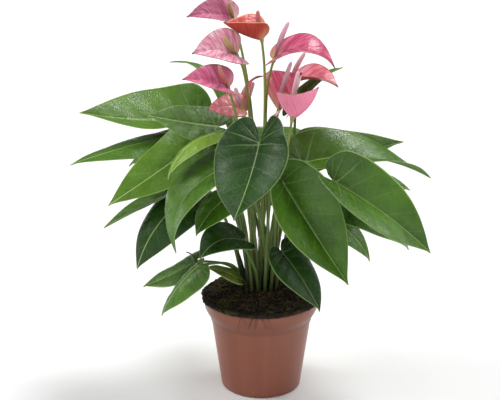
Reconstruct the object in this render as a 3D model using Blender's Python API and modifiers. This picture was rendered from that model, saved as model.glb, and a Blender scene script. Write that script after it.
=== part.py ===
"""A potted flamingo flower: a clay-coloured nursery pot, its mound of peat, and the
leaves and flowers that rise from it, each on its own stalk.

Every leaf is one heart-shaped blade grown together with its stalk. Every flower is a
green stalk, a coloured spathe and a spadix. The tables below are in millimetres and
degrees, with the origin under the middle of the pot, +Z up and the viewer at -Y.
"""

import math
import random
from typing import NamedTuple

import bmesh
import bpy
import numpy as np
from mathutils import Vector
from mathutils.bvhtree import BVHTree

MM = 0.001
CLEARANCE = 0.3

# Pot
POT_HEIGHT = 97.4
POT_RADIUS = 60.0
BASE_RADIUS = 41.5
BAND_HEIGHT = 23.0
WALL = 1.6
POT_STEPS = 36
NOTCHES = 8
NOTCH_SIZE = (9.0, 9.0, 3.0)

# Soil
SOIL_LEVEL = 99.0
SOIL_CROWN = 12.0
SOIL_OVERHANG = 2.0
SOIL_STEPS = 28

# Stalks
STALK_DEPTH = 16.0
STALK_STEPS = 10
STALK_LIFT = 4.0
STALK_LEAN = 0.008
STALK_HANDLES = (0.45, 0.2)
STALK_TAPER = (1.25, 0.4)
HOLE_REACH = 12.0
HOLE_CLEARANCE = 0.36
RING_GAP = 6.6
RING_PLACES = (1, 6, 12, 19)
STALK_GAP = 0.9
STALK_BEND = 1.6
STALK_ROUNDS = 200
STALK_MOVE = 1.0
STALK_SETTLED = 0.01
BLADE_GAP = 1.2

# Blades
LEAF_THICKNESS = 0.8
SPATHE_THICKNESS = 0.8
BLADE_RINGS = 2
KNUCKLE = 0.9
WAVE = 0.010
COLLAR_BELOW = 3.0
COLLAR_ABOVE = 3.6
COLLAR_RADII = (1.4, 2.1, 1.7)

# Spadix
SPADIX_SHARES = (0.0, 0.12, 0.35, 0.85, 0.96, 1.0)
SPADIX_RADII = (1.0, 1.5, 2.3, 2.0, 1.5, 0.6)
SPADIX_BEND = 0.03

LEAF_GREEN = (0.045, 0.16, 0.018)
YOUNG_GREEN = (0.28, 0.42, 0.03)
PINK = (0.66, 0.10, 0.20)


class Blade(NamedTuple):
    """One heart-shaped sheet, from where its stalk meets it to its tip.

    bow is the height of the midrib's arch as a share of the blade's length. In degrees,
    roll turns the whole sheet about its chord, fold lifts both halves at the midrib, cup
    lifts them more near the joint, droop is how far each half then curves down to its
    edge, and twist turns the tip. lobe lengthens the two lobes behind the joint.
    """

    joint: tuple
    tip: tuple
    width: float
    bow: float = 0.10
    roll: float = 0.0
    fold: float = 12.0
    droop: float = 35.0
    cup: float = 0.0
    lobe: float = 1.0
    twist: float = 0.0


class Leaf(NamedTuple):
    """A blade with the radius of its stalk."""

    name: str
    blade: Blade
    stalk: float = 1.6
    young: bool = False


class Flower(NamedTuple):
    """A spathe and the point that its spadix reaches."""

    name: str
    blade: Blade
    spadix: tuple
    stalk: float = 1.5


LEAVES = (
    Leaf("leaf_left_top", Blade((-68, 82, 265), (-189, 54, 280), 88, -0.04, -18, 23, 14, 22, 0.7)),
    Leaf("leaf_left_upper", Blade((-44, 6, 278), (-111, -23, 297), 49, -0.02, -37, 10, 20, 1, 1.0)),
    Leaf("leaf_left_long", Blade((-72, 61, 258), (-195, 11, 236), 59, 0.02, -6, 4, 39, 10, 0.6)),
    Leaf("leaf_left_middle", Blade((-60, 13, 262), (-151, -45, 211), 66, -0.01, -18, 8, 20, 20, 0.5)),
    Leaf("leaf_young", Blade((-48, -34, 281), (-91, -54, 241), 33, 0.15, 4, 3, 49, 0, 1.0), 1.3, True),
    Leaf("leaf_front_left", Blade((-34, -59, 255), (-83, -75, 172), 81, 0.22, -1, 16, 21, 3, 0.6)),
    Leaf("leaf_left_edge", Blade((-67, -7, 223), (-159, -22, 180), 54, 0.01, 2, 25, 31, 10, 0.8)),
    Leaf("leaf_left_low", Blade((-72, -7, 210), (-125, -36, 140), 55, 0.23, -35, 0, 60, 11, 0.9)),
    Leaf("leaf_front_centre", Blade((-2, -83, 286), (-25, -149, 232), 80, -0.04, 12, 19, 34, 22, 1.4)),
    Leaf("leaf_front_right", Blade((20, -42, 236), (85, -80, 142), 81, -0.02, 39, 38, 20, 23, 0.7)),
    Leaf("leaf_right_outer", Blade((69, -57, 241), (167, -55, 166), 72, 0.06, 45, 28, 20, 24, 0.6)),
    Leaf("leaf_right_top", Blade((41, -11, 245), (171, -5, 228), 70, 0.13, 22, 18, 11, 16, 0.9, -53)),
    Leaf("leaf_right_back", Blade((44, 23, 242), (146, 35, 255), 62, -0.05, 21, 29, 16, 24, 0.7)),
    Leaf("leaf_right_low", Blade((59, 18, 184), (113, 8, 133), 44, 0.12, 20, 12, 35, 0, 0.6)),
    Leaf("leaf_front_low", Blade((20, -42, 163), (59, -59, 105), 57, 0.04, 10, 22, 45, 2, 0.6)),
    Leaf("leaf_curled", Blade((-21, -40, 174), (-61, -57, 159), 52, 0.24, -15, 19, 25, 2, 0.9)),
    Leaf("leaf_shoot_upper", Blade((-67, -25, 145), (-121, -18, 115), 42, -0.03, -18, 15, 47, 2, 1.1), 1.3),
    Leaf("leaf_shoot_lower", Blade((-62, -60, 154), (-99, -66, 103), 43, 0.07, -10, 1, 72, 1, 0.7), 1.3),
    Leaf("leaf_small", Blade((-24, -28, 128), (-56, -38, 144), 21, 0.08, -23, 8, 40, 17, 0.9), 1.2),
    Leaf("leaf_back_left_top", Blade((-30, 50, 281), (-96, 75, 329), 44, 0.22, 13, 11, 58, 0, 1.4)),
    Leaf("leaf_back_right_top", Blade((34, 52, 287), (84, 69, 325), 30, 0.09, 0, 18, 27, 20, 1.1)),
    Leaf("leaf_right_inner", Blade((88, 44, 199), (156, 42, 200), 52, 0.14, 15)),
    Leaf("leaf_right_under", Blade((79, -14, 202), (151, -8, 152), 50, 0.12, 25)),
    Leaf("leaf_inner_left", Blade((-29, -34, 219), (-64, -60, 185), 44, 0.12, -10, 12, 35, 0, 0.5)),
    Leaf("leaf_back_left", Blade((-62, 78, 232), (-142, 76, 215), 52, 0.14, -15)),
    Leaf("leaf_back_a", Blade((40, 48, 228), (98, 125, 200), 68, 0.14, 0)),
    Leaf("leaf_back_b", Blade((11, 66, 248), (6, 152, 214), 70, 0.18, 0)),
    Leaf("leaf_back_c", Blade((-8, 72, 180), (-40, 150, 155), 68, 0.14, 0)),
)

FLOWERS = (
    Flower(
        "flower_left_top",
        Blade((-28, 48, 378), (-75, 25, 385), 38, 0.13, -40, 30, 10, 9, 1.3),
        (-33, 32, 399),
    ),
    Flower(
        "flower_top",
        Blade((0, -4, 368), (-37, -11, 387), 58, -0.06, -2, 44, 7, 7, 1.1),
        (-4, -4, 397),
    ),
    Flower(
        "flower_left",
        Blade((-24, -15, 355), (-67, -36, 361), 47, 0.14, -42, 28, 12, 8, 0.5),
        (-36, -43, 379),
    ),
    Flower(
        "flower_left_low",
        Blade((-32, -40, 328), (-75, -61, 342), 39, 0.09, -40, 30, 11, 8, 0.9),
        (-40, -64, 356),
    ),
    Flower(
        "flower_small",
        Blade((-19, -1, 298), (-54, -8, 299), 36, 0.10, -30, 12, 20, 20, 0.6),
        (-26, -6, 321),
    ),
    Flower(
        "flower_inner",
        Blade((-17, 20, 291), (2, 50, 320), 34, 0.24, -48, 11, 55, 9, 0.8),
        (-8, 38, 316),
    ),
    Flower(
        "flower_right_top",
        Blade((12, 0, 347), (72, -9, 341), 54, 0.29, 12, 23, 25, 3, 0.7),
        (26, -10, 387),
    ),
    Flower(
        "flower_cup",
        Blade((17, 15, 292), (39, 0, 335), 84, -0.11, 46, 31, 5, 2, 0.4),
        (29, -7, 347),
    ),
    Flower(
        "flower_right",
        Blade((27, 55, 308), (78, 34, 312), 62, 0.15, 2, 29, 23, 1, 0.7),
        (44, 46, 345),
    ),
    Flower(
        "flower_front",
        Blade((29, -52, 301), (54, -48, 332), 79, -0.11, -22, 31, 10, 30, 0.8),
        (35, -42, 346),
    ),
)

# Half of a blade's edge as shares of its length and half width, each with the share of
# the midrib where the vein to it starts.
LEAF_VEINS = (
    (-0.10, 0.10, 0.0),
    (-0.19, 0.32, 0.0),
    (-0.16, 0.62, 0.0),
    (-0.05, 0.88, 0.0),
    (0.12, 1.00, 0.03),
    (0.30, 0.99, 0.12),
    (0.50, 0.86, 0.29),
    (0.69, 0.61, 0.50),
    (0.84, 0.32, 0.72),
    (0.94, 0.10, 0.90),
)
SPATHE_VEINS = (
    (-0.03, 0.16, 0.0),
    (-0.06, 0.46, 0.0),
    (-0.02, 0.78, 0.0),
    (0.12, 0.98, 0.0),
    (0.34, 0.98, 0.10),
    (0.56, 0.78, 0.32),
    (0.77, 0.45, 0.58),
    (0.92, 0.13, 0.82),
)


def unit(v):
    """The vector at length one."""
    v = np.asarray(v, float)
    return v / np.linalg.norm(v)


def turned(v, axis, degrees):
    """The vector turned about a unit axis."""
    a = math.radians(degrees)
    return v * math.cos(a) + np.cross(axis, v) * math.sin(a) + axis * (axis @ v) * (1 - math.cos(a))


def blade_frame(blade):
    """The joint, length, chord, upper normal and sideways direction of a blade."""
    joint = np.asarray(blade.joint, float)
    chord = np.asarray(blade.tip, float) - joint
    length = float(np.linalg.norm(chord))
    chord = chord / length
    upper = np.array([0.0, 0.0, 1.0])
    normal = turned(unit(upper - (upper @ chord) * chord), chord, blade.roll)
    return joint, length, chord, normal, np.cross(chord, normal)


def rib_frame(blade, x):
    """The midrib's point, direction and normal at a share of its length."""
    joint, length, chord, normal, side = blade_frame(blade)
    rise = blade.bow * length * 4 * x * (1 - x) if x > 0 else blade.bow * length * 4 * x
    point = joint + chord * length * x + normal * rise
    along = unit(chord + normal * 4 * blade.bow * (1 - 2 * max(x, 0.0)))
    turn = blade.twist * max(x, 0.0) ** 2
    side = turned(side, along, turn)
    return point, along, np.cross(side, along), side


def blade_point(blade, x, y, hand, phase):
    """A point of the blade's middle surface, x along the midrib and y of the way out."""
    point, _, normal, side = rib_frame(blade, x)
    half = blade.width / 2
    out = y * half
    lift = blade.cup * (1 - min(max(x, 0.0), 1.0)) ** 3
    start = math.radians(blade.fold + lift)
    bend = math.radians(blade.droop) / half
    end = start - bend * out
    across = (math.sin(start) - math.sin(end)) / bend
    height = (math.cos(end) - math.cos(start)) / bend
    length = np.linalg.norm(np.subtract(blade.tip, blade.joint))
    height += WAVE * length * y**2 * math.sin(9 * x + phase + hand)
    return point + side * hand * across + normal * height


def blade_mesh(blade, veins, phase):
    """Points and triangles of the open middle surface, both halves on one midrib."""
    points = []
    triangles = []
    roots = sorted({vein[2] for vein in veins} | {1.0})
    rib = {}
    for root in roots:
        rib[root] = len(points)
        points.append(rib_frame(blade, root)[0])
    for hand in (1, -1):
        rows = []
        for x, y, root in veins:
            x = x * blade.lobe if x < 0 else x
            row = [rib[root]]
            for step in range(1, BLADE_RINGS + 1):
                share = step / BLADE_RINGS
                row.append(len(points))
                points.append(blade_point(blade, root + (x - root) * share, y * share, hand, phase))
            rows.append(row)
        rows.append([rib[1.0]] * (BLADE_RINGS + 1))
        for near, far in zip(rows, rows[1:]):
            for j in range(BLADE_RINGS):
                corners = (near[j], near[j + 1], far[j + 1], far[j])
                for triangle in (corners[:3], (corners[0], corners[2], corners[3])):
                    if len(set(triangle)) == 3:
                        triangles.append(triangle if hand > 0 else triangle[::-1])
    return points, triangles


def bezier(a, b, c, d, steps):
    """Points along a cubic curve."""
    t = np.linspace(0, 1, steps)[:, None]
    a, b, c, d = (np.asarray(p, float) for p in (a, b, c, d))
    return (1 - t) ** 3 * a + 3 * (1 - t) ** 2 * t * b + 3 * (1 - t) * t**2 * c + t**3 * d


def soil_height(x, y):
    """The top of the soil at a place."""
    r = math.hypot(x, y) / POT_RADIUS
    lumps = 0.8 * math.sin(0.21 * x + 1.1) * math.sin(0.17 * y)
    return SOIL_LEVEL + SOIL_CROWN * max(0.0, 1 - r * r) + lumps


def foot_places(tops):
    """Where each stalk leaves the soil. The tallest stand in the middle, on rings, and
    each ring's stalks keep the order of their bearings, so that they fan out."""
    order = sorted(range(len(tops)), key=lambda i: -tops[i][2])
    places = {}
    for ring, count in enumerate(RING_PLACES):
        members = order[:count]
        order = order[count:]
        members.sort(key=lambda i: math.atan2(tops[i][1], tops[i][0]))
        if not members:
            break
        gap = 2 * math.pi / len(members)
        errors = [
            math.atan2(tops[i][1], tops[i][0]) - k * gap for k, i in enumerate(members)
        ]
        start = math.atan2(sum(map(math.sin, errors)), sum(map(math.cos, errors)))
        for k, i in enumerate(members):
            bearing = start + k * gap
            places[i] = (ring * RING_GAP * math.cos(bearing), ring * RING_GAP * math.sin(bearing))
    return [places[i] for i in range(len(tops))]


def foot_direction(place):
    """Stalks lean out a little more the further they stand from the middle."""
    return unit((place[0] * STALK_LEAN, place[1] * STALK_LEAN, 1.0))


def stalk_path(place, end, arrival):
    """A straight foot in the soil, then one smooth curve to the end."""
    up = foot_direction(place)
    ground = np.array([place[0], place[1], soil_height(*place)])
    foot = ground - up * STALK_DEPTH
    lift = ground + up * STALK_LIFT
    rise, turn = STALK_HANDLES
    reach = np.linalg.norm(np.asarray(end) - lift)
    curve = bezier(lift, lift + up * rise * reach, end - arrival * turn * reach, end, STALK_STEPS)
    return np.array([foot, *curve])


def part_stalks(paths, radii, blades):
    """Bends the stalks clear of one another and of the blades of other plants.

    Each path keeps its foot and its end. blades holds points and triangles in the order
    of the paths. Two stalks that come too near are pushed apart at their nearest points,
    the bend dying away along both, so that stalks which crossed still pass each other.
    """
    trees = []
    for own in range(len(paths)):
        points = []
        triangles = []
        for k, (spots, corners) in enumerate(blades):
            if k != own:
                triangles += [[c + len(points) for c in triangle] for triangle in corners]
                points += [Vector(spot) for spot in spots]
        trees.append(BVHTree.FromPolygons(points, triangles))
    path = np.array(paths)
    total, count = path.shape[:2]
    at = np.linspace(1.0, count - 1.0, 3 * (count - 2) + 1)
    low = np.minimum(at.astype(int), count - 2)
    part = at - low
    thick = np.array(radii)[:, low] * (1 - part) + np.array(radii)[:, low + 1] * part
    need = thick[:, None, :, None] + thick[None, :, None, :] + STALK_GAP
    ends = np.minimum(np.arange(count) - 1, count - 1 - np.arange(count))
    free = np.clip(ends / 2.0, 0.0, 1.0)
    spread = np.exp(-(((np.arange(count)[None, :] - at[:, None]) / STALK_BEND) ** 2)) * free
    for _ in range(STALK_ROUNDS):
        spots = path[:, low] * (1 - part)[None, :, None] + path[:, low + 1] * part[None, :, None]
        away = spots[:, None, :, None, :] - spots[None, :, None, :, :]
        short = need - np.linalg.norm(away, axis=4)
        move = np.zeros_like(path)
        for i in range(total):
            for j in range(i + 1, total):
                m, n = divmod(int(short[i, j].argmax()), len(at))
                if short[i, j, m, n] > 0:
                    push = unit(away[i, j, m, n] + 1e-6) * short[i, j, m, n] * 0.5
                    move[i] += spread[m][:, None] * push
                    move[j] -= spread[n][:, None] * push
            for m, spot in enumerate(spots[i]):
                room = float(thick[i, m]) + BLADE_GAP
                found, _, _, gap = trees[i].find_nearest(Vector(spot), room)
                if found is not None:
                    push = unit(spot - np.array(found) + 1e-6) * (room - gap)
                    move[i] += spread[m][:, None] * push * 0.5
        if np.abs(move).max() < STALK_SETTLED:
            break
        path += np.clip(move, -STALK_MOVE, STALK_MOVE)
    return list(path)


# Scene objects

random.seed(4)

for thing in list(bpy.data.objects):
    bpy.data.objects.remove(thing, do_unlink=True)

plant = bpy.data.collections.new("potted_flamingo_flower")
cutters = bpy.data.collections.new("cutters")
bpy.context.scene.collection.children.link(plant)
bpy.context.scene.collection.children.link(cutters)


def material(name, colour, roughness):
    """A plain Principled material."""
    made = bpy.data.materials.new(name)
    made.use_nodes = True
    shader = made.node_tree.nodes["Principled BSDF"]
    shader.inputs["Base Color"].default_value = (*colour, 1.0)
    shader.inputs["Roughness"].default_value = roughness
    made.diffuse_color = (*colour, 1.0)
    return made


CLAY = material("clay_plastic", (0.33, 0.10, 0.065), 0.45)
PEAT = material("peat", (0.018, 0.010, 0.006), 0.95)
GREEN = material("leaf", LEAF_GREEN, 0.35)
LIME = material("young_leaf", YOUNG_GREEN, 0.4)
STEM = material("flower_stalk", (0.12, 0.20, 0.03), 0.45)
SPATHE = material("spathe", PINK, 0.3)
SPADIX = material("spadix", (0.62, 0.30, 0.42), 0.6)


def add_object(name, mesh, finish, collection=plant):
    """Links a new object that holds the mesh."""
    obj = bpy.data.objects.new(name, mesh)
    collection.objects.link(obj)
    mesh.materials.clear()
    mesh.materials.append(finish)
    return obj


def add_mesh(name, points, faces, finish, collection=plant):
    """An object from points in millimetres."""
    mesh = bpy.data.meshes.new(name)
    mesh.from_pydata([tuple(np.asarray(p) * MM) for p in points], [], faces)
    mesh.update()
    return add_object(name, mesh, finish, collection)


def baked(obj):
    """The object with its modifiers applied, its loose caps welded, as a mesh."""
    bpy.context.view_layer.update()
    evaluated = obj.evaluated_get(bpy.context.evaluated_depsgraph_get())
    mesh = bpy.data.meshes.new_from_object(evaluated)
    shape = bmesh.new()
    shape.from_mesh(mesh)
    bmesh.ops.remove_doubles(shape, verts=shape.verts, dist=1e-6)
    bmesh.ops.recalc_face_normals(shape, faces=shape.faces)
    shape.to_mesh(mesh)
    shape.free()
    name = obj.name
    finish = obj.data.materials[0]
    collection = obj.users_collection[0]
    place = obj.matrix_world.copy()
    bpy.data.objects.remove(obj, do_unlink=True)
    made = add_object(name, mesh, finish, collection)
    made.matrix_world = place
    return made


def add_rod(name, path, radii, finish, collection=plant, resolution=1):
    """A round rod through points in millimetres, with a radius at each."""
    curve = bpy.data.curves.new(name, "CURVE")
    curve.dimensions = "3D"
    curve.bevel_depth = MM
    curve.bevel_resolution = resolution
    curve.use_fill_caps = True
    spline = curve.splines.new("POLY")
    spline.points.add(len(path) - 1)
    for point, place, radius in zip(spline.points, path, radii):
        point.co = (*(np.asarray(place) * MM), 1.0)
        point.radius = radius
    return baked(add_object(name, curve, finish, collection))


def combine(obj, other, operation):
    """A Boolean of two meshes, applied, with the second removed.

    The manifold solver takes over where the exact one leaves nothing.
    """
    modifier = obj.modifiers.new("combine", "BOOLEAN")
    modifier.operation = operation
    modifier.object = other
    bpy.context.view_layer.update()
    evaluated = obj.evaluated_get(bpy.context.evaluated_depsgraph_get())
    if not evaluated.data.polygons:
        modifier.solver = "MANIFOLD"
    made = baked(obj)
    bpy.data.objects.remove(other, do_unlink=True)
    return made


def add_blade(name, shape, thickness, finish):
    """A blade with its thickness, as one closed mesh."""
    obj = add_mesh(name, *shape, finish)
    solid = obj.modifiers.new("thickness", "SOLIDIFY")
    solid.thickness = thickness * MM
    solid.offset = 0.0
    return baked(obj)


def leaf_route(leaf, place):
    """The path of a leaf's stalk, which ends in a small knuckle through the joint."""
    joint, along, normal, _ = rib_frame(leaf.blade, 0.0)
    return stalk_path(place, joint + normal * KNUCKLE, unit(normal + along))


def spadix_axis(flower):
    """The direction in which a flower's stalk ends and its spadix starts."""
    return unit(np.subtract(flower.spadix, flower.blade.joint))


def flower_route(flower, place):
    """The path of a flower's stalk, up to just below the spathe's collar."""
    axis = spadix_axis(flower)
    end = np.asarray(flower.blade.joint, float) - axis * (COLLAR_BELOW + CLEARANCE)
    return stalk_path(place, end, axis)


def stalk_radii(plant, steps):
    """A stalk's radius at each point of its path: it thins towards its end."""
    foot, loss = STALK_TAPER
    return [plant.stalk * (foot - loss * k / steps) for k in range(steps)]


def add_leaf(leaf, shape, path, radii):
    """A leaf: the blade and the stalk that it grows from, in one piece."""
    finish = LIME if leaf.young else GREEN
    blade = add_blade(leaf.name, shape, LEAF_THICKNESS, finish)
    stalk = add_rod("stalk", path, radii, finish)
    return combine(blade, stalk, "UNION")


def add_flower(flower, shape, path, radii):
    """A flower in three pieces: stalk, spathe with its collar, and spadix."""
    base = np.asarray(flower.blade.joint, float)
    axis = spadix_axis(flower)
    add_rod(flower.name + "_stalk", path, radii, STEM)
    spathe = add_blade(flower.name + "_spathe", shape, SPATHE_THICKNESS, SPATHE)
    ends = [base - axis * COLLAR_BELOW, base, base + axis * COLLAR_ABOVE]
    collar = add_rod("collar", ends, COLLAR_RADII, SPATHE)
    combine(spathe, collar, "UNION")
    start = base + axis * (COLLAR_ABOVE + CLEARANCE)
    length = np.linalg.norm(np.subtract(flower.spadix, start))
    bend = np.cross(axis, (0.0, 1.0, 0.0)) * SPADIX_BEND * length
    spine = [start + axis * length * s + bend * math.sin(math.pi * s) for s in SPADIX_SHARES]
    add_rod(flower.name + "_spadix", spine, SPADIX_RADII, SPADIX)


def add_turned(name, profile, steps, finish, collection=plant):
    """A turned solid from a profile of (radius, height), down its outer side."""
    mesh = bpy.data.meshes.new(name)
    places = [(r * MM, 0.0, z * MM) for r, z in profile]
    mesh.from_pydata(places, [(k, k + 1) for k in range(len(places) - 1)], [])
    obj = add_object(name, mesh, finish, collection)
    screw = obj.modifiers.new("turn", "SCREW")
    screw.steps = steps
    screw.render_steps = steps
    screw.use_merge_vertices = True
    screw.merge_threshold = 1e-5
    return baked(obj)


def add_box(name, size, collection=plant):
    """A box of the given size in millimetres about its own middle."""
    mesh = bpy.data.meshes.new(name)
    shape = bmesh.new()
    bmesh.ops.create_cube(shape, size=1.0)
    bmesh.ops.scale(shape, vec=[side * MM for side in size], verts=shape.verts)
    shape.to_mesh(mesh)
    shape.free()
    return add_object(name, mesh, CLAY, collection)


def add_pot():
    """The moulded pot: a deep band at the rim, a fine step, and notches at the foot."""
    band = POT_HEIGHT - BAND_HEIGHT
    outside = [
        (POT_RADIUS - 0.8, POT_HEIGHT),
        (POT_RADIUS, POT_HEIGHT - 0.8),
        (POT_RADIUS - 1.6, POT_HEIGHT - 9.0),
        (POT_RADIUS - 5.4, POT_HEIGHT - 16.5),
        (POT_RADIUS - 7.2, POT_HEIGHT - 19.0),
        (POT_RADIUS - 7.6, band),
        (POT_RADIUS - 8.4, band - 0.6),
        (BASE_RADIUS, 2.5),
        (BASE_RADIUS - 2.5, 0.0),
        (0.0, 0.0),
    ]
    inside = [
        (0.0, 2 * WALL),
        (BASE_RADIUS - WALL - 1.5, 2 * WALL),
        (POT_RADIUS - 8.4 - WALL, band - 0.6),
        (POT_RADIUS - 7.2 - WALL, POT_HEIGHT - 20.0),
        (POT_RADIUS - 1.6 - WALL, POT_HEIGHT - 10.0),
        (POT_RADIUS - WALL, POT_HEIGHT - 0.8),
        (POT_RADIUS - 0.8, POT_HEIGHT),
    ]
    pot = add_turned("pot", outside + inside, POT_STEPS, CLAY)
    for k in range(NOTCHES):
        angle = 2 * math.pi * (k + 0.5) / NOTCHES
        notch = add_box("notch", NOTCH_SIZE, cutters)
        notch.location = (BASE_RADIUS * MM * math.cos(angle), BASE_RADIUS * MM * math.sin(angle), 0.0)
        notch.rotation_euler = (0.0, 0.0, angle)
        pot = combine(pot, notch, "DIFFERENCE")
    return pot


def add_soil():
    """The peat: it fills the pot and swells a little over the rim."""
    band = POT_HEIGHT - BAND_HEIGHT
    gap = WALL + CLEARANCE + 0.4
    side = [
        (POT_RADIUS - 1.6, SOIL_LEVEL + 3.0),
        (POT_RADIUS + SOIL_OVERHANG, SOIL_LEVEL + 1.6),
        (POT_RADIUS + SOIL_OVERHANG - 0.4, POT_HEIGHT + 0.6),
        (POT_RADIUS - gap, POT_HEIGHT - 0.2),
        (POT_RADIUS - 1.6 - gap, POT_HEIGHT - 10.0),
        (POT_RADIUS - 7.2 - gap, POT_HEIGHT - 20.0),
        (POT_RADIUS - 8.4 - gap, band - 0.6),
        (BASE_RADIUS - 1.5 - gap, 2 * WALL + CLEARANCE),
        (0.0, 2 * WALL + CLEARANCE),
    ]
    top = [(r, soil_height(r, 0.0)) for r in (0.0, 26.0, 46.0)]
    return add_turned("soil", top + side, SOIL_STEPS, PEAT)


plants = LEAVES + FLOWERS
places = foot_places([one.blade.joint for one in plants])
shapes = []
routes = []
for one, place in zip(plants, places):
    leafy = isinstance(one, Leaf)
    veins = LEAF_VEINS if leafy else SPATHE_VEINS
    shapes.append(blade_mesh(one.blade, veins, random.uniform(0, 2 * math.pi)))
    routes.append(leaf_route(one, place) if leafy else flower_route(one, place))
radii = [stalk_radii(one, len(routes[0])) for one in plants]
routes = part_stalks(routes, radii, shapes)

add_pot()
soil = add_soil()
for one, shape, route, sizes in zip(plants, shapes, routes, radii):
    if isinstance(one, Leaf):
        add_leaf(one, shape, route, sizes)
    else:
        add_flower(one, shape, route, sizes)

for place, sizes in zip(places, radii):
    up = foot_direction(place)
    ground = np.array([place[0], place[1], soil_height(*place)])
    ends = [ground - up * (STALK_DEPTH + CLEARANCE), ground + up * HOLE_REACH]
    hole = add_rod("hole", ends, [sizes[0] + HOLE_CLEARANCE] * 2, PEAT, cutters)
    hole.hide_render = True
    hole.display_type = "WIRE"
    soil = combine(soil, hole, "DIFFERENCE")
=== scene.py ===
"""Dresses the potted flamingo flower: leaves, spathes, spadices, stalks, peat and pot.

Lengths are in millimetres and angles in degrees until a mesh is made. The origin is under
the middle of the pot, +Z is up and the viewer stands at -Y. Every blade follows the same
rule as the solid that it stands for, with finer steps, veins and thinned edges.
"""

import logging
import math
import random
from dataclasses import dataclass
from enum import Enum

import bmesh
import bpy
import numpy as np
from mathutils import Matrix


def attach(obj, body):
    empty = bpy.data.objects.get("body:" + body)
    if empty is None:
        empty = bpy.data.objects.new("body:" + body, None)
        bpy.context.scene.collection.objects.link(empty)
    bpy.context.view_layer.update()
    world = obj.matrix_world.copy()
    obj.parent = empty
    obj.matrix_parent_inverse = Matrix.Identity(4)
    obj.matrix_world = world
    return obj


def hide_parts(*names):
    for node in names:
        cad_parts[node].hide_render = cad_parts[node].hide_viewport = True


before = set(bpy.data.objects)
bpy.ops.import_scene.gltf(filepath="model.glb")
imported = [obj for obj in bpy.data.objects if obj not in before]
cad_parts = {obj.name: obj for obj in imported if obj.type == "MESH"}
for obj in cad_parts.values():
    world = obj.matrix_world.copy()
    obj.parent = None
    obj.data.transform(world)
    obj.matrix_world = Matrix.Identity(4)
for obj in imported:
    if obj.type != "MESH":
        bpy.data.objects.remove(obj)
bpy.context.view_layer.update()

Array = np.ndarray
Material = bpy.types.Material
Object = bpy.types.Object
Socket = bpy.types.NodeSocket
log = logging.getLogger("potted_flamingo_flower")

MM = 0.001
TURN = 2 * math.pi

# Pot and peat, as in the solids
POT_HEIGHT = 97.4
POT_RADIUS = 60.0
BASE_RADIUS = 41.5
BAND_HEIGHT = 23.0
WALL = 1.6
SOIL_LEVEL = 99.0
SOIL_CROWN = 12.0
SOIL_OVERHANG = 2.0
SOIL_TOP = 57.0
CLEARANCE = 0.3

# Collar under each spathe, and the spadix
COLLAR_BELOW = 3.0
COLLAR_ABOVE = 3.6
COLLAR_RADII = (1.4, 2.1, 1.7)
SPADIX_SHARES = (0.0, 0.12, 0.35, 0.85, 0.96, 1.0)
SPADIX_RADII = (1.0, 1.5, 2.3, 2.0, 1.5, 0.6)
SPADIX_BEND = 0.03
FLORET_HEIGHT = 0.30

# A blade's slow wave, as a share of its length, and its material slots
WAVE = 0.010
FACE, BACK, STALK = 0, 1, 2

# The side shoot's hooked bud, from the joint of its upper leaf
BUD_HOOK = ((0.6, 0.0, -1.0), (-1.2, 0.3, 4.0), (-4.0, 0.6, 8.0), (-9.0, 0.0, 10.5))
BUD_RADIUS = 1.1

# Half of a blade's edge as shares of its length and half width, each with the share of
# the midrib where the vein to it starts
LEAF_VEINS = (
    (-0.10, 0.10, 0.0), (-0.19, 0.32, 0.0), (-0.16, 0.62, 0.0), (-0.05, 0.88, 0.0),
    (0.12, 1.00, 0.03), (0.30, 0.99, 0.12), (0.50, 0.86, 0.29), (0.69, 0.61, 0.50),
    (0.84, 0.32, 0.72), (0.94, 0.10, 0.90), (1.00, 0.00, 1.00),
)
SPATHE_VEINS = (
    (-0.03, 0.16, 0.0), (-0.06, 0.46, 0.0), (-0.02, 0.78, 0.0), (0.12, 0.98, 0.0),
    (0.34, 0.98, 0.10), (0.56, 0.78, 0.32), (0.77, 0.45, 0.58), (0.92, 0.13, 0.82),
    (1.00, 0.00, 1.00),
)


def unit(v: Array) -> Array:
    """Vectors at length one, along the last axis."""
    return v / np.linalg.norm(v, axis=-1, keepdims=True)


def turned(v: Array, axis: Array, degrees: Array) -> Array:
    """Turns vectors about unit axes.

    Args:
        v: One vector, or one a row.
        axis: The axis, or one a row.
        degrees: The angle, or one a row.

    Returns:
        The turned vectors, one a row.
    """
    angle = np.radians(np.atleast_1d(np.asarray(degrees, float)))[:, None]
    v = np.broadcast_to(v, (len(angle), 3))
    axis = np.broadcast_to(axis, (len(angle), 3))
    along = np.sum(axis * v, axis=1, keepdims=True)
    return v * np.cos(angle) + np.cross(axis, v) * np.sin(angle) + axis * along * (1 - np.cos(angle))


def spline(points: Array, at: Array, want: Array) -> Array:
    """Reads a smooth curve through given points.

    Args:
        points: One point a row.
        at: The parameter of each point, rising.
        want: The parameters to read at.

    Returns:
        One point a row for each wanted parameter.
    """
    points = np.asarray(points, float)
    slope = np.gradient(points, at, axis=0)
    k = np.clip(np.searchsorted(at, want, side="right") - 1, 0, len(at) - 2)
    gap = (at[k + 1] - at[k])[:, None]
    t = (want - at[k])[:, None] / gap
    start = (2 * t**3 - 3 * t**2 + 1) * points[k] + (t**3 - 2 * t**2 + t) * gap * slope[k]
    end = (3 * t**2 - 2 * t**3) * points[k + 1] + (t**3 - t**2) * gap * slope[k + 1]
    return start + end


def smooth_path(points: Array, count: int) -> Array:
    """Resamples a route at even steps along one smooth curve."""
    at = np.concatenate([[0.0], np.cumsum(np.linalg.norm(np.diff(points, axis=0), axis=1))])
    return spline(points, at, np.linspace(0.0, at[-1], count))


def tapered(radius: float, path: Array) -> Array:
    """A stalk's radii along its line, from its thicker foot to its thinner top."""
    return radius * (1.25 - 0.4 * np.linspace(0.0, 1.0, len(path)))


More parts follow.
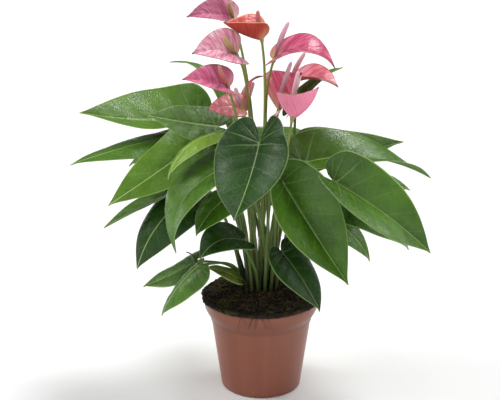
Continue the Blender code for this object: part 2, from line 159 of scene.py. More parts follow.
def soil_height(x: float, y: float) -> float:
    """The top of the peat at a place, without its crumb."""
    dome = SOIL_CROWN * max(0.0, 1 - (x * x + y * y) / POT_RADIUS**2)
    return SOIL_LEVEL + dome + 0.8 * math.sin(0.21 * x + 1.1) * math.sin(0.17 * y)


def inner_wall(gap: float, floor: float, drop: float) -> list:
    """A wall that follows the inside of the pot.

    Args:
        gap: How far it lies inside the outer skin.
        floor: The height of its foot.
        drop: How far its top is under the rim.

    Returns:
        (radius, height) pairs, from its foot up.
    """
    spots = ((8.4, BAND_HEIGHT + 0.6), (7.2, 20.0), (1.6, 10.0), (0.0, drop))
    wall = [(POT_RADIUS - inset - gap, POT_HEIGHT - down) for inset, down in spots]
    return [(BASE_RADIUS - 1.5 - gap, floor), *wall]


def revolved(section: list, steps: int) -> Array:
    """Turns a section about the Z axis.

    Args:
        section: (radius, height) pairs, down the outer side.
        steps: The number of steps round.

    Returns:
        The points, one ring a row.
    """
    radius, height = np.array(section, float).T[:, :, None]
    turn = np.linspace(0, TURN, steps, endpoint=False)
    height = np.broadcast_to(height, (len(section), steps))
    return np.stack([radius * np.cos(turn), radius * np.sin(turn), height], axis=-1)


def stalk_centres(node: str) -> Array:
    """Follows the rings of facets up a stalk's solid, from its foot.

    Args:
        node: The solid's name. Its foot is its lowest place.

    Returns:
        The centre of each whole ring, in millimetres.
    """
    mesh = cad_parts[node].data
    places = np.array([v.co for v in mesh.vertices]) / MM
    spots, index = np.unique(np.round(places, 3), axis=0, return_inverse=True)
    index = index.reshape(-1)
    links = [set() for _ in spots]
    for edge in mesh.edges:
        a, b = index[edge.vertices[0]], index[edge.vertices[1]]
        links[a].add(b)
        links[b].add(a)
    ring = set(np.flatnonzero(spots[:, 2] < spots[:, 2].min() + 2.0))
    sides = len(ring)
    seen = set()
    centres = []
    while len(ring) == sides:
        centres.append(spots[list(ring)].mean(axis=0))
        seen |= ring
        ring = {n for i in ring for n in links[i]} - seen
    return np.array(centres)


def linked(name: str, data: bpy.types.ID) -> Object:
    """Makes an object and links it to the scene.

    Args:
        name: Its name.
        data: Its mesh, camera or light.

    Returns:
        The object.
    """
    obj = bpy.data.objects.new(name, data)
    bpy.context.scene.collection.objects.link(obj)
    return obj


class Shape:
    """Gathers vertices, faces, marks and slots into one piece.

    A mark is where a corner of a face lies: among the veins, outwards, along and across.
    """

    def __init__(self) -> None:
        """Starts empty."""
        self.points: list[Array] = []
        self.faces: list[tuple[int, ...]] = []
        self.marks: list[tuple[float, ...]] = []
        self.slots: list[int] = []
        self.count = 0

    def add(self, points: Array, faces: list, marks: list, slots: list) -> None:
        """Adds a closed surface.

        Args:
            points: Its vertices in millimetres.
            faces: Corner numbers of each face, counted within these points.
            marks: The mark of each corner of each face.
            slots: The material slot of each face.
        """
        self.points.append(points)
        self.faces += [tuple(int(c) + self.count for c in face) for face in faces]
        self.marks += marks
        self.slots += slots
        self.count += len(points)

    def rings(self, points: Array, span: int, slot: int = 0, caps: bool = False) -> None:
        """Adds a skin over rings of points.

        Args:
            points: The points, one ring a row.
            span: How many steps from ring to ring the marks count as one.
            slot: Its material slot.
            caps: Whether flat faces close its ends.
        """
        count, sides = points.shape[:2]
        faces = []
        marks = []
        for i in range(count - 1):
            for j in range(sides):
                low, high = i * sides, (i + 1) * sides
                n = (j + 1) % sides
                faces.append((low + j, low + n, high + n, high + j))
                left, right, near, far = j / sides, (j + 1) / sides, i / span, (i + 1) / span
                marks += [(left, near), (right, near), (right, far), (left, far)]
        if caps:
            faces += [tuple(reversed(range(sides))), tuple(range((count - 1) * sides, count * sides))]
            marks += [(0.5, 0.0)] * sides + [(0.5, 1.0)] * sides
        self.add(points.reshape(-1, 3), faces, [(u, v, v, u) for u, v in marks], [slot] * len(faces))

    def tube(self, path: Array, radii: Array, sides: int, slot: int = 0, bumps: Array | float = 0.0) -> None:
        """Adds a round tube with closed ends.

        Args:
            path: Its centre line.
            radii: Its radius at each point of the line.
            sides: Its number of sides.
            slot: Its material slot.
            bumps: Heights to add to the radius, one row a ring and one column a side.
        """
        along = unit(np.gradient(path, axis=0))
        out = [unit(np.cross(along[0], (0.3, 0.9, 0.2)))]
        for step in along[1:]:
            out.append(unit(out[-1] - step * (step @ out[-1])))
        up = np.cross(along, out)
        turn = np.linspace(0, TURN, sides, endpoint=False)[None, :, None]
        radius = np.broadcast_to(radii[:, None] + bumps, (len(path), sides))
        ring = np.cos(turn) * np.array(out)[:, None] + np.sin(turn) * up[:, None]
        self.rings(path[:, None] + ring * radius[:, :, None], len(path) - 1, slot, True)

    def piece(self, name: str, finishes: list, slot: str, *nodes: str) -> Object:
        """Makes the piece, on the one body.

        Args:
            name: Its name.
            finishes: Its finishes, in the order of their slots.
            slot: Not used.
            *nodes: The solids that it stands for.

        Returns:
            The piece, with welded vertices and outward faces, shaded smooth.
        """
        mesh = bpy.data.meshes.new(name)
        mesh.from_pydata((np.concatenate(self.points) * MM).tolist(), [], self.faces)
        marks = np.array(self.marks)
        for layer, values in (("veins", marks[:, :2]), ("place", marks[:, 2:])):
            mesh.uv_layers.new(name=layer).data.foreach_set("uv", values.ravel())
        mesh.polygons.foreach_set("material_index", self.slots)
        for finish in finishes:
            mesh.materials.append(finish.make())
        obj = linked(name, mesh)
        shape = bmesh.new()
        shape.from_mesh(mesh)
        bmesh.ops.remove_doubles(shape, verts=shape.verts, dist=2e-6)
        bmesh.ops.dissolve_degenerate(shape, edges=shape.edges, dist=1e-7)
        bmesh.ops.recalc_face_normals(shape, faces=shape.faces)
        shape.to_mesh(mesh)
        shape.free()
        mesh.shade_smooth()
        mesh.update()
        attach(obj, "root")
        if nodes:
            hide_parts(*nodes)
        log.info("%s: %d faces", name, len(mesh.polygons))
        return obj


@dataclass
class Blade:
    """One heart-shaped sheet, from where its stalk meets it to its tip.

    bow is the height of the midrib's arch as a share of the blade's length. roll turns the
    sheet about its chord, fold lifts both halves at the midrib, cup lifts them more near
    the joint, droop is how far each half then curves down to its edge, and twist turns the
    tip. lobe lengthens the two lobes behind the joint.
    """

    joint: tuple[float, float, float]
    tip: tuple[float, float, float]
    width: float
    bow: float = 0.10
    roll: float = 0.0
    fold: float = 12.0
    droop: float = 35.0
    cup: float = 0.0
    lobe: float = 1.0
    twist: float = 0.0

    def length(self) -> float:
        """The straight length from joint to tip."""
        return float(np.linalg.norm(np.subtract(self.tip, self.joint)))

    def rib(self, x: Array) -> tuple[Array, Array, Array]:
        """Reads the midrib.

        Args:
            x: Shares of its length, one for each reading.

        Returns:
            Its points, normals and sideways directions.
        """
        ahead = np.maximum(x, 0.0)
        length = self.length()
        chord = np.subtract(self.tip, self.joint) / length
        level = unit(np.array([0.0, 0.0, 1.0]) - chord[2] * chord)
        normal = turned(level, chord, self.roll)[0]
        rise = self.bow * length * 4 * x * (1 - ahead)
        point = np.asarray(self.joint, float) + chord * length * x[:, None] + normal * rise[:, None]
        along = unit(chord + normal * (4 * self.bow * (1 - 2 * ahead))[:, None])
        side = turned(np.cross(chord, normal), along, self.twist * ahead**2)
        return point, np.cross(side, along), side

    def surface(self, x: Array, y: Array, hand: int, phase: float) -> Array:
        """Reads the middle surface.

        Args:
            x: Shares along the midrib.
            y: Shares of the way out to the half width.
            hand: 1 for one half and -1 for the other.
            phase: The phase of the edge's slow wave.

        Returns:
            The points.
        """
        point, normal, side = self.rib(x)
        half = self.width / 2
        lift = self.cup * (1 - np.clip(x, 0.0, 1.0)) ** 3
        start = np.radians(self.fold + lift)
        bend = math.radians(self.droop) / half
        end = start - bend * y * half
        across = (np.sin(start) - np.sin(end)) / bend
        height = (np.cos(end) - np.cos(start)) / bend
        height = height + WAVE * self.length() * y**2 * np.sin(9 * x + phase + hand)
        return point + side * (hand * across)[:, None] + normal * height[:, None]


@dataclass
class Sheet:
    """The fine, closed skin of a blade, with its veins in relief.

    quilt is how far the surface swells between veins, groove how deep the midrib lies on
    the face and keel how far it stands out on the back.
    """

    blade: Blade
    veins: tuple
    phase: float
    thickness: float = 0.6
    quilt: float = 0.55
    groove: float = 0.35
    keel: float = 0.5
    steps: int = 84
    rows: int = 16

    def relief(self, k: Array, out: Array, share: Array) -> Array:
        """The height of the surface above its smooth form.

        Args:
            k: Place among the veins, whole on each vein.
            out: Distance from the midrib in millimetres.
            share: Share of the way out to the edge.

        Returns:
            The height, in millimetres.
        """
        swell = np.sin(math.pi * (k % 1.0)) ** 2 * np.minimum(out / 9.0, 1.0) * (1 - share**5)
        ripple = 0.5 * np.sin(2.2 * k + self.phase) * share**4
        return self.quilt * (swell + 0.5 * ripple) - self.groove * np.exp(-((out / 1.3) ** 2))

    def grid(self) -> tuple[Array, Array]:
        """Lays a grid over one half, with a row of points along each vein and between them.

        Returns:
            The mark of each point, and the four corners of each cell.
        """
        last = len(self.veins) - 1
        k = np.linspace(0.0, last, self.steps + 1)
        x, y, start = spline(self.veins, np.arange(last + 1.0), k).T[:, :, None]
        x = np.where(x < 0, x * self.blade.lobe, x)
        start = np.clip(start, 0.0, 1.0)
        share = np.linspace(0.0, 1.0, self.rows + 1) ** 0.85
        marks = (k[:, None] / last, share, start + (x - start) * share, np.maximum(y, 0.0) * share)
        ids = np.arange((self.steps + 1) * (self.rows + 1)).reshape(self.steps + 1, self.rows + 1)
        cells = np.stack([ids[:-1, :-1], ids[:-1, 1:], ids[1:, 1:], ids[1:, :-1]], axis=-1)
        return np.stack(np.broadcast_arrays(*marks), axis=-1).reshape(-1, 4), cells.reshape(-1, 4)

    def add_to(self, shape: Shape) -> None:
        """Builds the sheet, its thin rim in the slot of its back.

        Args:
            shape: Where to add it.
        """
        marks, cells = self.grid()
        halves = [self.blade.surface(marks[:, 2], marks[:, 3], hand, self.phase) for hand in (1, -1)]
        quads = np.concatenate([cells, cells[:, ::-1] + len(marks)])
        marks = np.tile(marks, (2, 1))
        out = marks[:, 3] * self.blade.width / 2
        height = self.relief(marks[:, 0] * (len(self.veins) - 1), out, marks[:, 1])
        # Both halves meet at the midrib, where several veins start at one point
        spots, weld = np.unique(np.round(np.concatenate(halves), 3), axis=0, return_inverse=True)
        weld = weld.reshape(-1)
        level, reach, out = (np.bincount(weld, a) / np.bincount(weld) for a in (height, marks[:, 1], out))
        corners = weld[quads]
        a, b, c, d = (spots[corners[:, i]] for i in range(4))
        cross = np.cross(c - a, d - b)
        if np.sum(cross * self.blade.rib(marks[quads[:, 0], 2])[1]) < 0:
            quads = quads[:, ::-1]
            corners = corners[:, ::-1]
            cross = -cross
        normal = np.zeros_like(spots)
        for i in range(4):
            np.add.at(normal, corners[:, i], cross)
        normal = unit(normal + 1e-12)
        thick = self.thickness * (1 - 0.5 * reach**8)
        below = thick / 2 + self.keel * np.exp(-((out / 1.1) ** 2)) * (reach < 0.5)
        total = len(spots)
        made = []
        rim = {}
        for cell, corner in zip(quads, corners):
            keep = [i for i in range(4) if corner[i] != corner[i - 1]]
            if len(keep) < 3:
                continue
            ids = [corner[i] for i in keep]
            at = [cell[i] for i in keep]
            made.append((ids, at, FACE))
            made.append(([i + total for i in reversed(ids)], at[::-1], BACK))
            for a, b, m, n in zip(ids, ids[1:] + ids[:1], at, at[1:] + at[:1]):
                if (b, a) in rim:
                    del rim[b, a]
                else:
                    rim[a, b] = (m, n)
        for (a, b), (m, n) in rim.items():
            made.append(([b, a, a + total, b + total], [n, m, m, n], BACK))
        faces, at, slots = zip(*made)
        top = spots + normal * (level + thick / 2)[:, None]
        low = spots + normal * (level - below)[:, None]
        shape.add(np.concatenate([top, low]), faces, marks[np.concatenate(at)].tolist(), slots)


# Finishes

SMOOTH = {"interpolation_type": "SMOOTHSTEP"}
COLOURS = {"data_type": "RGBA", "out": 2}
TIMES = {"operation": "MULTIPLY"}


def linear(colour: str) -> tuple[float, float, float, float]:
    """Turns an sRGB hex value such as #4b6e28 into linear colour with alpha one."""
    parts = [int(colour[i:i + 2], 16) / 255 for i in (1, 3, 5)]
    return (*(p / 12.92 if p <= 0.04045 else ((p + 0.055) / 1.055) ** 2.4 for p in parts), 1.0)


@dataclass(frozen=True)
class Finish:
    """What every material here shares: its name and the Principled shader's plain values."""

    name: str
    roughness: float = 0.4
    ior: float = 1.45


class Nodes:
    """The nodes of one material, with the patterns that several finishes share."""

    def __init__(self, finish: Finish) -> None:
        """Makes the material, with the finish's plain values on its shader.

        Args:
            finish: The finish.
        """
        self.material = bpy.data.materials.new(finish.name)
        self.material.use_nodes = True
        self.tree = self.material.node_tree
        self.shader = self.tree.nodes["Principled BSDF"]
        self.shader.inputs["Roughness"].default_value = finish.roughness
        self.shader.inputs["IOR"].default_value = finish.ior

    def add(self, kind: str, *values: Socket | float, named: dict | None = None, out: int = 0,
            **settings: object) -> Socket:
        """Adds a node with its settings and links.

        Args:
            kind: Its type, without "ShaderNode".
            *values: Its first inputs in order. A socket is linked, anything else is set.
            named: Its other inputs by name or number.
            out: The number of the output to return.
            **settings: Its properties.

        Returns:
            One of the node's outputs.
        """
        made = self.tree.nodes.new("ShaderNode" + kind)
        for key, value in settings.items():
            setattr(made, key, value)
        for key, value in {**dict(enumerate(values)), **(named or {})}.items():
            if isinstance(value, Socket):
                self.tree.links.new(value, made.inputs[key])
            else:
                made.inputs[key].default_value = value
        return made.outputs[out]

    def lumps(self, size: float, low: float, high: float, top: float = 1.0, detail: float = 3.0) -> Socket:
        """Makes a mask of lumps.

        Args:
            size: Their size in millimetres.
            low: The noise at which the mask starts to rise.
            high: The noise at which it is full.
            top: Its value there.
            detail: How broken the lumps are.

        Returns:
            The mask, from 0 to top.
        """
        look = {"Vector": self.add("TexCoord", out=3), "Scale": 1.0 / (size * MM), "Detail": detail}
        return self.add("MapRange", self.add("TexNoise", named=look), low, high, 0.0, top, **SMOOTH)

    def streaks(self, across: Socket, along: Socket, counts: tuple[float, float], seed: float) -> Socket:
        """Makes noise drawn out along one way of a surface.

        Args:
            across: The coordinate that the streaks lie beside each other in.
            along: The coordinate that they run in.
            counts: How many lumps of noise a unit of each holds.
            seed: Sets these streaks apart from others.

        Returns:
            The noise, from 0 to 1.
        """
        parts = [self.add("Math", way, count, **TIMES) for way, count in zip((across, along), counts)]
        place = self.add("CombineXYZ", *parts, seed)
        return self.add("TexNoise", named={"Vector": place, "Scale": 1.0, "Detail": 3.0})

    def marks(self) -> list[Socket]:
        """Reads a surface's marks: among its veins, outwards, along it and across it."""
        maps = [self.add("SeparateXYZ", self.add("UVMap", uv_map=name)).node for name in ("veins", "place")]
        return [parts.outputs[n] for parts in maps for n in (0, 1)]

    def height(self) -> Socket:
        """Reads the height above the pot's underside, in metres."""
        return self.add("SeparateXYZ", self.add("TexCoord", out=3), out=2)

    def layers(self, base: str, *coats: tuple[Socket | float, str]) -> Socket:
        """Lays colours over each other.

        Args:
            base: The lowest colour.
            *coats: The mask and the colour of each coat, the lowest first.

        Returns:
            The colour.
        """
        colour = linear(base)
        for mask, over in coats:
            colour = self.add("Mix", mask, named={6: colour, 7: linear(over)}, **COLOURS)
        return colour

    def relief(self, *grains: tuple[Socket, float]) -> Socket:
        """Adds up bumps.

        Args:
            *grains: The height, from 0 to 1, and the depth in millimetres of each.

        Returns:
            The normal.
        """
        under = {}
        for height, depth in grains:
            bump = {"Height": height, "Strength": 1.0, "Distance": depth * MM, **under}
            under = {"Normal": self.add("Bump", named=bump)}
        return under["Normal"]

    def dress(self, **links: Socket) -> Material:
        """Links the shader's inputs.

        Args:
            **links: What to link, by the input's name with _ for a space.

        Returns:
            The material.
        """
        for key, value in links.items():
            self.tree.links.new(value, self.shader.inputs[key.replace("_", " ")])
        return self.material


@dataclass(frozen=True)
class LeafTone:
    """The greens of one leaf, from its shaded tissue to its pale veins."""

    deep: str
    body: str
    light: str
    vein: str
    back: str


class Tone(Enum):
    """How old a leaf is, which sets its greens."""

    MATURE = LeafTone("#2f5012", "#4a741a", "#658f2e", "#a3bd72", "#5f8440")
    BRIGHT = LeafTone("#3d6012", "#537c16", "#779f2c", "#b0c878", "#7c9a50")
    DARK = LeafTone("#14300a", "#244711", "#3a611e", "#8fa868", "#4a6a34")
    LIME = LeafTone("#5f8420", "#80a632", "#a5c455", "#c0d488", "#8cab48")
    OLIVE = LeafTone("#4a5a1e", "#66762a", "#86923c", "#a8b070", "#77873e")


@dataclass(frozen=True)
class LeafSkin(Finish):
    """Living leaf under a waxy cuticle.

    The cuticle gives the eye a wet glare, broken by the fine net of veins. The tissue under
    it is deep green, painted deeper towards the joint and in the lobes as shade, with a thin,
    pale midrib, faint side veins and a thin pale margin.
    fan is how pale the veins at the base are, and lateral how pale the others are.
    """

    tone: LeafTone = Tone.MATURE.value
    veins: int = len(LEAF_VEINS) - 1
    half: float = 35.0
    fan: float = 0.35
    lateral: float = 0.2
    under: bool = False
    seed: float = 0.0

    def make(self) -> Material:
        """Builds the material.

        Returns:
            The material.
        """
        nodes = Nodes(self)
        add = nodes.add
        k, share, x, y = nodes.marks()
        whole = add("Math", k, self.veins, **TIMES)
        # Veins at the base spread from the joint, and the others start apart
        apart = add("MapRange", k, 0.36, 0.5, **SMOOTH)
        apart = add("Math", apart, share, operation="MAXIMUM")
        gap = add("Math", add("Math", whole, 0.5, operation="PINGPONG"), apart, **TIMES)
        line = add("MapRange", gap, 0.006, 0.024, 1.0, 0.0, **SMOOTH)
        strength = add("MapRange", k, 0.3, 0.52, self.fan, self.lateral, **SMOOTH)
        fading = add("MapRange", share, 0.5, 0.97, 1.0, 0.15, **SMOOTH)
        line = add("Math", add("Math", line, strength, **TIMES), fading, **TIMES)
        # The midrib and the pale margin are each about 1 mm wide
        rib = add("MapRange", y, 0.25 / self.half, 0.8 / self.half, 0.9, 0.0, **SMOOTH)
        margin = add("MapRange", share, 1 - 1.3 / self.half, 1 - 0.5 / self.half, 0.0, 0.6, **SMOOTH)
        tone = self.tone
        coats = [
            # Painted shade: the blade is painted deeper green towards its joint and in its lobes
            (add("MapRange", x, -0.15, 0.45, 0.3, 1.0, **SMOOTH), tone.body),
            (nodes.lumps(24.0, 0.42, 0.70, 0.6), tone.deep),
            (nodes.lumps(5.0, 0.50, 0.80, 0.35, 5.0), tone.light),
        ]
        if self.under:
            coats.append((0.8, tone.back))
        coats += [(margin, tone.vein), (line, tone.vein), (rib, tone.vein)]
        # Netted veins between the main ones, drawn 2 mm apart, which is coarse, to show
        rows = add("Math", share, self.half / 1.8, **TIMES)
        cells = add("CombineXYZ", add("Math", whole, 9.0, **TIMES), rows, self.seed)
        net = add("TexVoronoi", named={"Vector": cells, "Scale": 1.0}, feature="DISTANCE_TO_EDGE")
        net = add("MapRange", net, 0.0, 0.3, **SMOOTH)
        gloss = nodes.lumps(11.0, 0.35, 0.65)
        return nodes.dress(
            Base_Color=nodes.layers(tone.deep, *coats),
            Normal=nodes.relief((net, 0.10), (nodes.lumps(2.0, 0.0, 1.0), 0.22)),
            Roughness=add("MapRange", gloss, 0.0, 1.0, self.roughness - 0.04, self.roughness + 0.14),
        )


@dataclass(frozen=True)
class SpatheTone:
    """The colours of one spathe."""

    face: str
    light: str
    streak: str
    throat: str
    back: str
    rim: str = "#8a5f4c"
    tip: str = "#4e2a22"


@dataclass(frozen=True)
class SpatheWax(Finish):
    """A spathe's lacquered skin: smooth, waxy, and glossy enough to mirror a window.

    Colour runs in fine streaks along the veins, from a creamy throat to a dark tip, inside
    a thin, browner rim.
    """

    tone: SpatheTone = SpatheTone("#c65c72", "#e688a0", "#a33f58", "#e9d5ae", "#d98a96")
    veins: int = len(SPATHE_VEINS) - 1
    half: float = 25.0
    under: bool = False
    seed: float = 0.0

    def make(self) -> Material:
        """Builds the material.

        Returns:
            The material.
        """
        nodes = Nodes(self)
        add = nodes.add
        k, share, x, _ = nodes.marks()
        whole = add("Math", k, self.veins, **TIMES)
        fine = nodes.streaks(whole, share, (11.0, 1.6), self.seed)
        broad = nodes.streaks(whole, share, (2.6, 1.2), self.seed + 7)
        throat = add("MapRange", x, -0.1, 0.2, 1.0, 0.0, **SMOOTH)
        outwards = add("MapRange", share, 0.1, 0.95, 1.0, 0.3, **SMOOTH)
        tone = self.tone
        colour = nodes.layers(
            tone.back if self.under else tone.face,
            (add("MapRange", broad, 0.42, 0.62, 0.0, 0.8), tone.back if self.under else tone.light),
            (add("MapRange", fine, 0.48, 0.64, 0.0, 0.6), tone.streak),
            (add("Math", throat, outwards, **TIMES), tone.throat),
            (add("MapRange", share, 1 - 1.5 / self.half, 1 - 0.4 / self.half, 0.0, 0.75, **SMOOTH), tone.rim),
            (add("MapRange", x, 0.92, 0.985, **SMOOTH), tone.tip),
        )
        gap = add("Math", add("Math", whole, 0.5, operation="PINGPONG"), share, **TIMES)
        lateral = add("MapRange", gap, 0.0, 0.05, **SMOOTH)
        normal = nodes.relief((lateral, 0.12), (nodes.lumps(3.0, 0.0, 1.0), 0.3))
        return nodes.dress(Base_Color=colour, Normal=normal)


@dataclass(frozen=True)
class SpadixSkin(Finish):
    """Packed florets, each a small matt bead with a dustier top."""

    low: str = "#b0788a"
    high: str = "#e2b2c1"
    fleck: str = "#ead6cf"

    def make(self) -> Material:
        """Builds the material.

        Returns:
            The material.
        """
        nodes = Nodes(self)
        ripe = nodes.add("MapRange", nodes.marks()[2], 0.05, 0.95, **SMOOTH)
        flecks = nodes.lumps(0.9, 0.56, 0.66, 0.6, 2.0)
        colour = nodes.layers(self.low, (ripe, self.high), (flecks, self.fleck))
        return nodes.dress(Base_Color=colour, Normal=nodes.relief((nodes.lumps(0.5, 0.0, 1.0), 0.06)))


@dataclass(frozen=True)
class StalkSkin(Finish):
    """A stalk's smooth green skin, with fine lengthwise streaks and a foot painted darker as shade."""

    green: str = "#456422"
    light: str = "#738c3a"
    # The darker colour of the painted shade at the foot
    foot: str = "#24260f"

    def make(self) -> Material:
        """Builds the material.

        Returns:
            The material.
        """
        nodes = Nodes(self)
        round_it, along = nodes.marks()[:2]
        noise = nodes.streaks(round_it, along, (14.0, 5.0), 0.0)
        streak = nodes.add("MapRange", noise, 0.35, 0.7, **SMOOTH)
        # Painted shade: the foot's darker colour climbs from the peat to about 55 mm above it
        low = nodes.add("MapRange", nodes.height(), 0.104, 0.160, 0.9, 0.0, **SMOOTH)
        colour = nodes.layers(self.green, (streak, self.light), (low, self.foot))
        return nodes.dress(Base_Color=colour, Normal=nodes.relief((noise, 0.08)))


@dataclass(frozen=True)
class PotPlastic(Finish):
    """Injection-moulded polypropylene in a clay colour.

    The moulding gives the eye a satin skin with faint upright flow bands and a few scuffs.
    The curved-in lower part of the deep band is painted darker, as shade.
    """

    clay: str = "#834935"
    band: str = "#8a4f3b"
    scuff: str = "#a37768"
    shade: str = "#6b3c2d"

    def make(self) -> Material:
        """Builds the material.

        Returns:
            The material.
        """
        nodes = Nodes(self)
        add = nodes.add
        round_it, down = nodes.marks()[:2]
        bands = add("MapRange", nodes.streaks(round_it, down, (18.0, 2.0), 0.0), 0.35, 0.65, **SMOOTH)
        scuffs = nodes.lumps(5.0, 0.62, 0.8, 0.3, 6.0)
        # Painted shade: the lower part of the deep band, 74 to 92 mm up, curves in under the rim and is
        # painted darker
        under = add("MapRange", nodes.height(), 0.092, 0.084, 0.0, 0.4, **SMOOTH)
        above = add("MapRange", nodes.height(), 0.0735, 0.0745, **SMOOTH)
        bend = add("Math", under, above, **TIMES)
        return nodes.dress(
            Base_Color=nodes.layers(self.clay, (bands, self.band), (scuffs, self.scuff), (bend, self.shade)),
            # The mould's spark texture is under 0.1 mm, and is drawn coarser to show
            Normal=nodes.relief((nodes.lumps(0.6, 0.0, 1.0), 0.04)),
            Roughness=add("MapRange", bands, 0.0, 1.0, self.roughness - 0.04, self.roughness + 0.06),
        )


@dataclass(frozen=True)
class Peat(Finish):
    """Moist peat: near black, crumbly and fibrous, with mossy and ochre specks."""

    dark: str = "#120e0a"
    brown: str = "#2c2116"
    moss: str = "#47481f"
    ochre: str = "#6b5432"

    def make(self) -> Material:
        """Builds the material.

        Returns:
            The material.
        """
        nodes = Nodes(self)
        colour = nodes.layers(
            self.dark,
            (nodes.lumps(4.0, 0.40, 0.62, 1.0, 5.0), self.brown),
            (nodes.lumps(14.0, 0.52, 0.66, 0.7), self.moss),
            (nodes.lumps(1.3, 0.60, 0.70, 0.8), self.ochre),
        )
        normal = nodes.relief((nodes.lumps(1.6, 0.0, 1.0, 1.0, 5.0), 0.9))
        return nodes.dress(Base_Color=colour, Normal=normal)


# The parts of the plant

@dataclass
class Leaf:
    """A blade on its stalk, grown in one piece."""

    name: str
    blade: Blade
    stalk: float = 1.6
    tone: Tone = Tone.MATURE
    fan: float = 0.35
    bud: bool = False

    @classmethod
    def of(cls, name: str, joint: tuple, tip: tuple, *form: float, **traits: object) -> "Leaf":
        """A leaf from its name, its blade's ends and form, and its other traits."""
        return cls("leaf_" + name, Blade(joint, tip, *form), **traits)

    def stalk_path(self) -> Array:
        """The stalk's centre line, from its foot to just under the blade.

        Returns:
            Its points.
        """
        point, normal, _ = self.blade.rib(np.zeros(1))
        end = point[0] - normal[0] * CLEARANCE
        keep = [c for c in stalk_centres(self.name) if np.linalg.norm(c - end) > 3.0]
        return smooth_path([*keep, end], 48)

    def radii(self, path: Array) -> Array:
        """The stalk's radius along it: tapering, with a knuckle under the blade.

        Args:
            path: Its centre line.

        Returns:
            One radius a point.
        """
        left = np.linalg.norm(path - path[-1], axis=1)
        knuckle = 0.28 * np.exp(-(((left - 7.0) / 5.0) ** 2))
        return tapered(self.stalk, path) * (1 + knuckle) * np.clip(0.62 + left / 6.0, 0.0, 1.0)

    def build(self, phase: float) -> None:
        """Builds and dresses the leaf.

        Args:
            phase: The phase of its edge's slow wave.
        """
        shape = Shape()
        Sheet(self.blade, LEAF_VEINS, phase).add_to(shape)
        path = self.stalk_path()
        shape.tube(path, self.radii(path), 12, STALK)
        if self.bud:
            hook = smooth_path(np.add(self.blade.joint, BUD_HOOK), 16)
            shape.tube(hook, BUD_RADIUS * np.linspace(1.0, 0.3, 16) ** 0.6, 10, STALK)
        looks = {"tone": self.tone.value, "half": self.blade.width / 2, "fan": self.fan, "seed": phase}
        finishes = [
            # The darkest leaves mirror less of the room
            LeafSkin(self.name + "_cuticle", 0.20, 1.34 if self.tone is Tone.DARK else 1.43, **looks),
            LeafSkin(self.name + "_underside", 0.5, 1.38, under=True, **looks),
            StalkSkin(self.name + "_stalk_skin", 0.38),
        ]
        slot = "young_leaf" if self.tone is Tone.LIME else "leaf"
        shape.piece("fine_" + self.name, finishes, slot, self.name)


@dataclass
class Flower:
    """A flower: its stalk, its spathe and the spadix in it."""

    name: str
    blade: Blade
    spadix: tuple[float, float, float]
    tone: SpatheTone
    skin: SpadixSkin
    stalk: float = 1.5
    floret: float = 1.5
    florets_round: int = 9

    @classmethod
    def of(cls, name: str, joint: tuple, tip: tuple, spadix: tuple, form: tuple, skin: SpadixSkin,
           *colours: str) -> "Flower":
        """A flower from its joint, tip and spadix's end, its spathe's form and its looks."""
        return cls("flower_" + name, Blade(joint, tip, *form), spadix, SpatheTone(*colours), skin)

    def axis(self) -> Array:
        """The direction of the spadix."""
        return unit(np.subtract(self.spadix, self.blade.joint))

    def build_stalk(self) -> None:
        """Builds the stalk on its own solid's line."""
        name = self.name + "_stalk"
        path = smooth_path(stalk_centres(name), 56)
        shape = Shape()
        shape.tube(path, tapered(self.stalk, path), 12)
        # Its foot is painted darker near the peat, as shade
        skin = StalkSkin(name + "_skin", 0.36, 1.45, "#66752a", "#9aa64e", "#2c3312")
        shape.piece("fine_" + name, [skin], "flower_stalk", name)

    def build_spathe(self, phase: float) -> None:
        """Builds the spathe with the collar that it stands on.

        Args:
            phase: The phase of its edge's slow wave.
        """
        shape = Shape()
        Sheet(self.blade, SPATHE_VEINS, phase, 0.65, 0.22, 0.15, 0.25, 64, 12).add_to(shape)
        base = np.asarray(self.blade.joint, float)
        collar = smooth_path([base - self.axis() * COLLAR_BELOW, base, base + self.axis() * COLLAR_ABOVE], 12)
        radii = spline(np.array(COLLAR_RADII)[:, None], np.arange(3.0), np.linspace(0, 2, 12))[:, 0]
        shape.tube(collar, radii, 20, STALK)
        looks = {"tone": self.tone, "half": self.blade.width / 2, "seed": phase}
        finishes = [
            SpatheWax(self.name + "_wax", 0.24, 1.50, **looks),
            SpatheWax(self.name + "_back_wax", 0.34, 1.46, under=True, **looks),
            StalkSkin(self.name + "_collar_skin", 0.4, 1.45, "#8a8a48", "#b5ad70", "#6f7034"),
        ]
        shape.piece("fine_" + self.name + "_spathe", finishes, "spathe", self.name + "_spathe")

    def build_spadix(self) -> None:
        """Builds the spadix, its florets standing in crossed spirals."""
        axis = self.axis()
        start = np.asarray(self.blade.joint, float) + axis * (COLLAR_ABOVE + CLEARANCE)
        length = float(np.linalg.norm(np.subtract(self.spadix, start)))
        bend = np.cross(axis, (0.0, 1.0, 0.0)) * SPADIX_BEND * length
        shares = np.linspace(0.0, 1.0, max(24, int(length / self.floret * 5)))
        spine = start + axis * length * shares[:, None] + bend * np.sin(math.pi * shares)[:, None]
        radius = spline(np.array(SPADIX_RADII)[:, None], np.array(SPADIX_SHARES), shares)[:, 0]
        sides = self.florets_round * 6
        turn = np.linspace(0, TURN, sides, endpoint=False)
        row = (shares * length / self.floret)[:, None] * math.pi
        beads = np.cos(self.florets_round * turn + row) * np.cos(row)
        dome = np.sqrt(np.clip(1.0 - shares**8, 0.0, 1.0))[:, None]
        bumps = FLORET_HEIGHT * np.sqrt(np.clip(beads, 0.0, 1.0)) * dome
        shape = Shape()
        shape.tube(spine, radius * 0.93, sides, 0, bumps)
        shape.piece("fine_" + self.name + "_spadix", [self.skin], "spadix", self.name + "_spadix")


